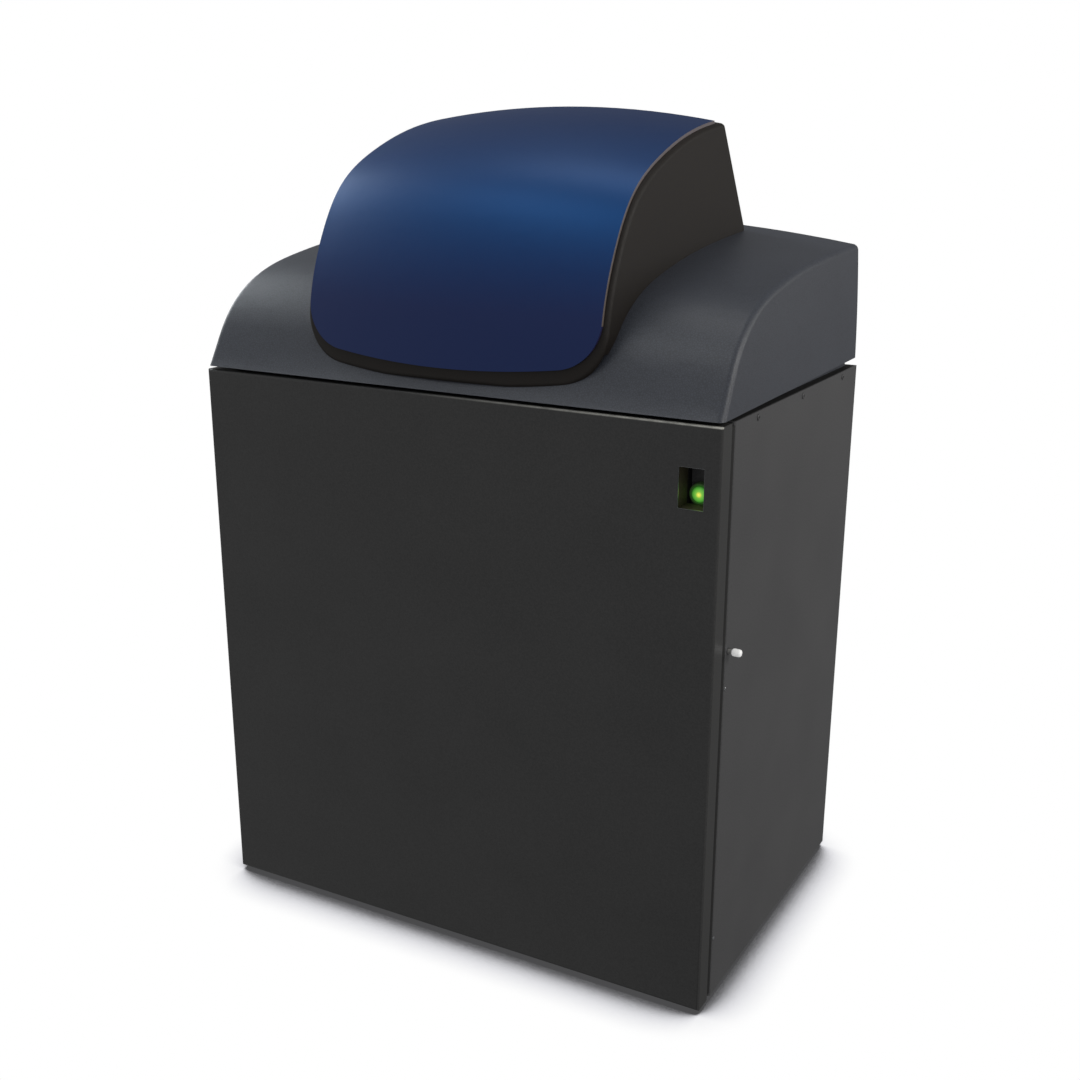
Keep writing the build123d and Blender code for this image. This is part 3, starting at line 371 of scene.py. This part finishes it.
def back_lit(name, middle, strength, stops, roughness=0.25):
    """Translucent green moulding lit from behind: yellow over the lamp, dark green away from it."""
    material, tree = new_material(name)
    place = add(tree, "ShaderNodeTexCoord").outputs["Object"]
    away = add(tree, "ShaderNodeVectorMath", {0: place, 1: middle}, operation="SUBTRACT")
    distance = add(tree, "ShaderNodeVectorMath", {0: away.outputs[0]}, operation="LENGTH")
    share = add(tree, "ShaderNodeMapRange", {"Value": distance.outputs["Value"], "From Max": GLOW_REACH})
    glow = add(tree, "ShaderNodeValToRGB", {"Fac": share.outputs[0]}, stops).outputs[0]
    surface(tree, {"Base Color": glow, "Roughness": roughness, "Emission Color": glow,
                   "Emission Strength": strength})
    return material


def studio_paper(name):
    """White studio paper that glows evenly white; a painted shadow darkens it close under and beside what
    stands on it.
    """
    material, tree = new_material(name)
    near = add(tree, "ShaderNodeAmbientOcclusion", {"Distance": SHADOW_REACH}, samples=SHADOW_SAMPLES)
    level = add(tree, "ShaderNodeMapRange",
                {"Value": near.outputs["AO"], "From Min": 0.5, "From Max": 0.97, "To Min": 0.12,
                 "To Max": 1.0}, interpolation_type="SMOOTHSTEP")
    shade = add(tree, "ShaderNodeValToRGB", {"Fac": level.outputs[0]}, SHADOW_STOPS)
    glow = add(tree, "ShaderNodeEmission", {"Color": shade.outputs[0], "Strength": 1.0})
    add(tree, "ShaderNodeOutputMaterial", {"Surface": glow.outputs[0]})
    return material


FASCIA_LOW, FASCIA_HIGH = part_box("fascia_panel")
DOOR_LOW, DOOR_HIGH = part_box("door_skin")
BUTTON_LOW, BUTTON_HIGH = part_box("power_button")
BUTTON_MIDDLE = ((BUTTON_LOW.x + BUTTON_HIGH.x) / 2, BUTTON_LOW.y, (BUTTON_LOW.z + BUTTON_HIGH.z) / 2)

FINISHES = {
    # the cabinet's coat is drawn lighter than the door's; part of the difference is painted light for the
    # side panels' stronger light
    "cabinet_paint": powder_coat("textured_powder_coat_grey_partly_painted_light", "#434345", "#555556"),
    # the pale colour along the door's top fold is a painted highlight
    "door_paint": powder_coat("textured_powder_coat_charcoal", "#323232", "#3e3e3e", fold_highlight_colour="#c9c8c0"),
    "darkroom_black": powder_coat("matt_black_powder_coat", "#0e0e0e", "#1c1c1c", roughness=0.7),
    "hood_plastic": grained_moulding("leather_grained_abs", "#34373e", "#434750", roughness=0.45),
    "dome_plastic": grained_moulding("fine_grained_abs", "#14100d", "#1d1712", cell=1.3, roughness=0.6,
                                     depth=0.03, shine=0.36),
    # the fascia's high colour is a painted highlight band, its top colour painted shade, and its edge colour
    # partly a painted highlight
    "fascia_blue": metallic_lacquer("blue_metallic_lacquer", low="#2d2748", high="#103262", top="#14264e",
                                    edge="#75685c", flash="#45a0ff"),
    "foot_rubber": foam_rubber("moulded_rubber", "#0b0b0b", "#1c1c1c"),
    "seal_foam": foam_rubber("closed_cell_foam", "#090909", "#191919"),
    "black_steel": bare_metal("blacked_steel", "#131315", "#26262a", 0.4),
    "bright_steel": bare_metal("drawn_steel", "#8d8f92", "#c9cbce", 0.28),
    "zinc_sheet": bare_metal("zinc_plated_sheet", "#8a8c8e", "#b4b7ba", 0.38),
    "bush_brass": bare_metal("turned_brass", "#9a7a35", "#d1ab58", 0.25),
    # the knob's faint glow is painted light
    "knob_white": moulded_plastic("white_acetal", "#f2f2f0", "#fdfdfc", 0.3, glow=0.3),
    "switch_black": moulded_plastic("black_polyamide", "#101010", "#1d1d1e", 0.4),
    "button_green": back_lit("lit_green_cap", BUTTON_MIDDLE, 0.9, CAP_GLOW),
    "aluminium": bare_metal("milled_aluminium", "#9da0a3", "#cfd2d5", 0.32),
    "black_anodised": bare_metal("black_anodised_aluminium", "#121214", "#232327", 0.42),
    "motor_black": powder_coat("motor_enamel", "#151517", "#2a2a2d", grain=0.8, roughness=0.35),
    "lens_coated": tinted_glass("coated_lens_glass", "#5a6c8f"),
    "filter_tint": tinted_glass("interference_filter", "#d9852a", transmission=0.7),
    "uv_glass": tinted_glass("uv_pass_glass", "#120a22", transmission=0.35),
    "tube_glass": tinted_glass("lamp_tube_glass", "#cfd9e6", transmission=0.6),
    "pinion_acetal": moulded_plastic("natural_acetal", "#cfccc2", "#e6e3da", 0.35),
    "board_green": moulded_plastic("solder_resist", "#0c3a1c", "#175a2c", 0.3, grain=4),
    "opal": moulded_plastic("opal_acrylic", "#dcdcd8", "#f0f0ec", 0.45),
}

# nodes whose look differs from the rest of their slot
NODE_FINISHES = {
    # the sleeve's coat is drawn lighter than its own colour, as painted light in the shaded recess behind the
    # window
    "window_sleeve": powder_coat("olive_powder_coat_painted_lighter", "#45402f", "#56503e", roughness=0.7),
    # the black bezel glows with painted light, standing in for the lamp's light falling on it
    "switch_barrel": back_lit("bezel_painted_lamp_glow", BUTTON_MIDDLE, 0.45, BEZEL_PAINTED_GLOW, roughness=0.5),
    "lock_pin": moulded_plastic("dull_acetal_stem", "#858583", "#989896", 0.5),
    "lock_bush": bare_metal("blacked_bush", "#3a3a3c", "#58585a", 0.4),
}

WELD_GAP = 0.01 * MM
CREASE_ANGLE = 28


def dress_cad_nodes():
    """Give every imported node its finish, and smooth shading that stops at its creases."""
    slots = {entry["node"]: entry["material_slot"] for entry in frame["record"]["subparts"]}
    for name, node in NODES.items():
        node.data.materials.clear()
        node.data.materials.append(NODE_FINISHES.get(name, FINISHES[slots[name]]))
        for polygon in node.data.polygons:
            polygon.use_smooth = True
        weld = node.modifiers.new("weld", "WELD")
        weld.merge_threshold = WELD_GAP
        split = node.modifiers.new("creases", "EDGE_SPLIT")
        split.split_angle = radians(CREASE_ANGLE)
        split.use_edge_sharp = False
        weighted = node.modifiers.new("flat_faces", "WEIGHTED_NORMAL")
        weighted.mode = "FACE_AREA"
        weighted.weight = 100


# --- Small pieces, in millimetres ------------------------------------------------------------

SIDE_FACE = 255.0
LEAF_FACE = 257.6
SIDE_SCREW_Y = (-95.0, 14.0, 126.5)
REAR_SCREWS = ((-240, 0, 240), (16, 507))
LINER_SIDE_SCREWS = ((-250, 250), (40, 190, 365, 480))
LINER_END_SCREWS = ((-160, 0, 160), (10, 514))
HINGE_SCREW_Y = (-135.0, -125.0)
HINGE_SCREW_RADIUS = {"upper_hinge_post": 1.4, "lower_hinge_post": 2.4}
SERVICE_SCREWS = ((-99, 578), (99, 578), (0, 554), (0, 602))
FAN_SCREWS = ((-92, -40), (552, 604))
INLET_MIDDLE = (66, 155.8, 570)
INLET_BLADES = ((-7, -1), (0, 2), (7, -1))
BLADE_SIZE = (2.3, 13, 4.3)
TUBE_COUNT = 6
TUBE_PITCH = 190 / TUBE_COUNT
TUBE_BED_FRONT = -80
TUBE_CAP_X = 134
RIVETS = ((-141.0, 296.0), (-141.5, 62.0))
STRIP_SIZE = (7, 7, 508)
STRIP_MIDDLE = (251.1, -147.2, 262)
SLEEVE_WALL = 1.5
WINDOW_FRONT = -169.7
WINDOW_DEPTH = 1.2
WINDOW_EDGE_WALL = 0.2
BACKWARDS = (0, 1, 0)

# (radius, height) outlines of the turned pieces
TUBE_CAP = [(8.05, 0), (8.5, 0.4), (8.5, 8), (8.25, 8.6), (8.5, 9.2), (8.5, 11), (8.05, 11.4)]
RIVET_HEAD = [(0, -1), (1.7, -1), (1.7, 0), (1.6, 0.35), (1.2, 0.6), (0.5, 0.7), (0.5, 0.3), (0, 0.3)]
KNOB = [(0, 0), (2.0, 0), (2.0, 0.5), (2.7, 0.8), (3.1, 1.5), (3.2, 2.5), (3.2, 6.4), (3.0, 7.4),
        (2.3, 8.2), (1.2, 8.6), (0, 8.7)]


MERGE_GAP = 0.005
PIECE_CREASE_ANGLE = 35


def finish_piece(name, shape, body, slot, replaced=()):
    """Close and link a mesh that stands at its true place, and tie it to its body and slot."""
    bmesh.ops.remove_doubles(shape, verts=shape.verts, dist=MERGE_GAP * MM)
    bmesh.ops.recalc_face_normals(shape, faces=shape.faces)
    mesh = bpy.data.meshes.new(name)
    shape.to_mesh(mesh)
    shape.free()
    for polygon in mesh.polygons:
        polygon.use_smooth = True
    mesh.set_sharp_from_angle(angle=radians(PIECE_CREASE_ANGLE))
    mesh.materials.append(FINISHES[slot])
    piece = bpy.data.objects.new(name, mesh)
    SCENE.collection.objects.link(piece)
    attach(piece, body)
    if replaced:
        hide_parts(*replaced)


def stand(shape, first, place, along):
    """Move the vertices made since a count from the origin to a place, pointing along a direction."""
    shape.verts.index_update()
    shape.verts.ensure_lookup_table()
    turn = Vector((0, 0, 1)).rotation_difference(Vector(along)).to_matrix().to_4x4()
    move = Matrix.Translation(Vector(place) * MM) @ turn
    bmesh.ops.transform(shape, matrix=move, verts=shape.verts[first:])


def lathe(shape, profile, steps=32):
    """Spin a (radius, height) outline full round the upright axis."""
    line = [shape.verts.new((r * MM, 0, h * MM)) for r, h in profile]
    edges = [shape.edges.new(pair) for pair in zip(line, line[1:])]
    bmesh.ops.spin(shape, geom=line + edges, axis=(0, 0, 1), angle=tau, steps=steps, use_merge=True)


def soft_block(shape, size, middle, edge, segments):
    """A block with rounded edges."""
    spread = Matrix.Diagonal((*(Vector(size) * MM), 1))
    block = bmesh.ops.create_cube(shape, size=1.0, matrix=Matrix.Translation(Vector(middle) * MM) @ spread)
    edges = list({link for v in block["verts"] for link in v.link_edges})
    bmesh.ops.bevel(shape, geom=edges, offset=edge * MM, segments=segments, profile=0.5, affect="EDGES",
                    material=-1)


def rim_edges(shape, first, height):
    """Open edges at one height, among the vertices made since a count."""
    shape.verts.index_update()
    level = height * MM
    return [edge for edge in shape.edges if edge.is_boundary
            and all(v.index >= first and abs(v.co.z - level) < 0.001 * MM for v in edge.verts)]


def socket_screw(shape, place, along, radius=2.8, height=1.0, socket=1.1, shank=1.5, depth=6.0):
    """A low domed screw with a shank and a hexagon socket sunk in its head."""
    first = len(shape.verts)
    lathe(shape, [(0, -depth), (shank, -depth), (shank, 0), (radius, 0), (radius, height * 0.3),
                  (radius * 0.93, height * 0.65), (radius * 0.75, height), (socket * 1.3, height)], steps=24)
    rim = rim_edges(shape, first, height)
    hexagon = bmesh.ops.create_circle(shape, segments=6, radius=socket * MM,
                                      matrix=Matrix.Translation((0, 0, height * MM)))["verts"]
    hexagon_edges = list({edge for v in hexagon for edge in v.link_edges})
    bmesh.ops.bridge_loops(shape, edges=rim + hexagon_edges)
    walls = bmesh.ops.extrude_edge_only(shape, edges=hexagon_edges)["geom"]
    low = [item for item in walls if isinstance(item, bmesh.types.BMVert)]
    bmesh.ops.translate(shape, vec=(0, 0, -0.75 * height * MM), verts=low)
    bmesh.ops.contextual_create(shape, geom=low)
    stand(shape, first, place, along)


def grid(across, upwards, y):
    """Every place at these X and Z on one plane."""
    return [(x, y, z) for x in across for z in upwards]


def screw_set(name, body, slot, placed, replaced=(), **size):
    """Like screws on one body, each with its place and the way its head faces."""
    shape = bmesh.new()
    for place, facing in placed:
        socket_screw(shape, place, facing, **size)
    finish_piece(name, shape, body, slot, replaced)


def gap_shade_strips():
    """Strips in black foam finish down both sides of the cabinet's front, behind the closed door, standing in
    the gaps as painted shade.
    """
    shape = bmesh.new()
    x, y, z = STRIP_MIDDLE
    for side in (-1, 1):
        soft_block(shape, STRIP_SIZE, (side * x, y, z), edge=0.8, segments=3)
    finish_piece("gap_shade_strips", shape, "cabinet", "seal_foam")


def side_screw_heads():
    """Painted-over screws under the side panels' top edges."""
    low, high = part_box("side_screws")
    middle = (low.z + high.z) / 2 / MM
    placed = [((side * SIDE_FACE, y, middle), (side, 0, 0)) for y in SIDE_SCREW_Y for side in (-1, 1)]
    screw_set("side_screw_heads", "cabinet", "cabinet_paint", placed, ("side_screws",))


def rear_screw_heads():
    """Screws along the top and bottom of the rear panel."""
    low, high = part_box("rear_panel")
    placed = [(place, BACKWARDS) for place in grid(*REAR_SCREWS, high.y / MM)]
    screw_set("rear_screw_heads", "cabinet", "black_steel", placed, ("rear_screws",))


def liner_screws():
    """Small screws that hold the door's liner to the lips of its skin."""
    low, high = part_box("door_skin")
    places = grid(*LINER_SIDE_SCREWS, high.y / MM) + grid(*LINER_END_SCREWS, high.y / MM)
    placed = [(place, BACKWARDS) for place in places]
    screw_set("liner_screws", "door", "black_steel", placed, radius=2.4, height=0.7, socket=0.9, depth=1.2)


def hinge_screws():
    """Two screws through each fixed hinge leaf."""
    for name, radius in HINGE_SCREW_RADIUS.items():
        low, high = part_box(name)
        middle = (low.z + high.z) / 2 / MM
        placed = [((-LEAF_FACE, y, middle), (-1, 0, 0)) for y in HINGE_SCREW_Y]
        screw_set(name + "_screws", "cabinet", "black_steel", placed, radius=radius, height=0.7,
                  socket=radius * 0.4, shank=radius * 0.5, depth=2)


def service_screws():
    """Screws round the edge of the service plate and at the fan's corners."""
    low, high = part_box("service_plate")
    edge = [((x, high.y / MM, z), BACKWARDS) for x, z in SERVICE_SCREWS]
    screw_set("service_screws", "cabinet", "black_steel", edge, depth=2)
    corners = [(place, BACKWARDS) for place in grid(*FAN_SCREWS, high.y / MM)]
    screw_set("fan_screws", "cabinet", "black_steel", corners, radius=2.4, depth=2)


def inlet_pins():
    """Nickelled blades in the appliance inlet."""
    shape = bmesh.new()
    middle_x, middle_y, middle_z = INLET_MIDDLE
    for x, z in INLET_BLADES:
        soft_block(shape, BLADE_SIZE, (middle_x + x, middle_y, middle_z + z), edge=0.5, segments=2)
    finish_piece("inlet_pins", shape, "cabinet", "bright_steel")


def tube_caps():
    """Crimped aluminium caps on the ends of the lamp tubes."""
    low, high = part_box("uv_tubes")
    middle = (low.z + high.z) / 2 / MM
    shape = bmesh.new()
    for i in range(TUBE_COUNT):
        y = TUBE_BED_FRONT + TUBE_PITCH * (i + 0.5)
        for side in (-1, 1):
            first = len(shape.verts)
            lathe(shape, TUBE_CAP)
            stand(shape, first, (side * TUBE_CAP_X, y, middle), (side, 0, 0))
    finish_piece("tube_caps", shape, "drawer", "aluminium")


def side_rivets():
    """Two blind rivets below the lock pin, near the right side panel's front edge."""
    shape = bmesh.new()
    for y, z in RIVETS:
        first = len(shape.verts)
        lathe(shape, RIVET_HEAD, steps=20)
        stand(shape, first, (SIDE_FACE, y, z), (1, 0, 0))
    finish_piece("side_rivets", shape, "cabinet", "bright_steel")


def knob_cap():
    """White push knob: a capsule with a pinched neck."""
    shape = bmesh.new()
    low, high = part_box("lock_knob")
    first = len(shape.verts)
    lathe(shape, KNOB, steps=40)
    stand(shape, first, (low.x / MM, (low.y + high.y) / 2 / MM, (low.z + high.z) / 2 / MM), (1, 0, 0))
    finish_piece("knob_cap", shape, "lock_pin", "knob_white", ("lock_knob",))


def window_edge():
    """The cut edge of the door's sheet round its window, left bare."""
    shape = bmesh.new()
    low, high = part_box("window_sleeve")
    wall = SLEEVE_WALL * MM
    left, right, bottom, top = low.x + wall, high.x - wall, low.z + wall, high.z - wall
    corners = ((left, bottom), (right, bottom), (right, top), (left, top))
    verts = [shape.verts.new((x, WINDOW_FRONT * MM, z)) for x, z in corners]
    loop = [shape.edges.new((verts[i], verts[(i + 1) % 4])) for i in range(4)]
    walls = bmesh.ops.extrude_edge_only(shape, edges=loop)["geom"]
    back = [item for item in walls if isinstance(item, bmesh.types.BMVert)]
    bmesh.ops.translate(shape, vec=(0, WINDOW_DEPTH * MM, 0), verts=back)
    bmesh.ops.recalc_face_normals(shape, faces=shape.faces)
    bmesh.ops.solidify(shape, geom=list(shape.faces), thickness=WINDOW_EDGE_WALL * MM)
    finish_piece("window_edge", shape, "door", "zinc_sheet")


make_camera()
make_world()
make_lights()
make_floor()
dress_cad_nodes()
gap_shade_strips()
side_screw_heads()
rear_screw_heads()
liner_screws()
hinge_screws()
service_screws()
inlet_pins()
tube_caps()
side_rivets()
knob_cap()
window_edge()

SCENE.view_settings.view_transform = "Standard"
